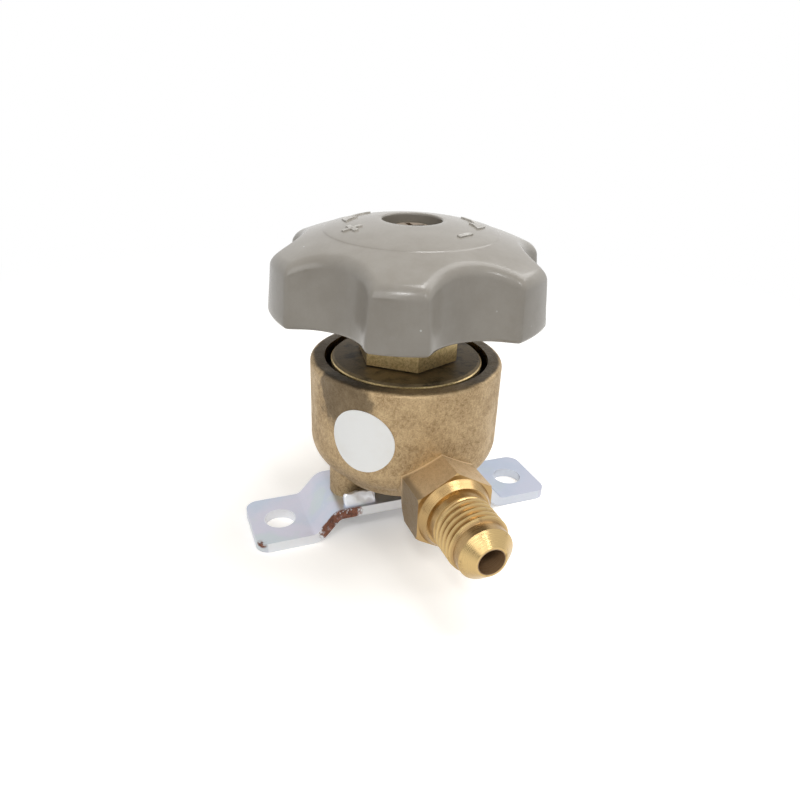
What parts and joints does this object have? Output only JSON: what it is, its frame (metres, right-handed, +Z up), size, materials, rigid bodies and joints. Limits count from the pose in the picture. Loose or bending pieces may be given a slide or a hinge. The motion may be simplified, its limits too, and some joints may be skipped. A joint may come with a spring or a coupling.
{
  "type": "shut-off valve",
  "caption": "Packless diaphragm shut-off valve: cast brass body with opposed flare ports, hexagon bonnet, lobed plastic handwheel and folded steel foot bracket.",
  "frame": {"origin": "on the spindle axis, on the surface that the bracket's feet stand on", "axes": "+Z up along the spindle, -Y and +Y along the two ports, X along the bracket"},
  "size_m": [0.063, 0.0778, 0.0601],
  "materials": {
    "cast_brass": "sand cast, matt, with machined ports and rim",
    "machined_brass": "turned, dulled",
    "plated_steel": "zinc plated, satin, with a little rust at the cut edges",
    "bright_steel": "turned",
    "coppered_steel": "satin, slightly tarnished",
    "spring_steel": "rolled",
    "grey_plastic": "moulded, semi-gloss",
    "seat_nylon": "matt",
    "sealing_rubber": "matt",
    "label_paper": "matt"
  },
  "bodies": {
    "body": {"valve_body": "cast_brass", "bonnet": "machined_brass", "slip_ring": "machined_brass", "diaphragm_gasket": "sealing_rubber", "lower_diaphragm": "spring_steel", "middle_diaphragm": "spring_steel", "upper_diaphragm": "spring_steel", "plate_spring": "spring_steel", "stem_seal": "sealing_rubber", "mounting_bracket": "plated_steel", "bracket_screws": "plated_steel", "bracket_lock_washers": "plated_steel", "label": "label_paper"},
    "plate": {"valve_plate": "machined_brass", "seat_disc": "seat_nylon"},
    "thrust": {"thrust_pad": "machined_brass", "thrust_ball": "bright_steel"},
    "wheel": {"spindle": "bright_steel", "handwheel": "grey_plastic", "handwheel_washer": "bright_steel", "handwheel_screw": "coppered_steel"}
  },
  "joints": [
    {"name": "pad_lift", "type": "slide", "parent": "body", "child": "thrust", "axis": [0, 0, 1], "range_m": [0, 0.00225], "deforming": ["lower_diaphragm", "middle_diaphragm", "upper_diaphragm"]},
    {"name": "plate_lift", "type": "slide", "parent": "body", "child": "plate", "axis": [0, 0, 1], "range_m": [0, 0.00225], "deforming": ["plate_spring"]},
    {"name": "handwheel_turn", "type": "hinge", "parent": "thrust", "child": "wheel", "pos_m": [0, 0, 0.05], "axis": [0, 0, 1], "range_deg": [0, 540]}
  ],
  "couplings": [
    {"joint": "handwheel_turn", "follows": "pad_lift", "rad_per_m": 4188.7},
    {"joint": "plate_lift", "follows": "pad_lift", "ratio": 1}
  ]
}
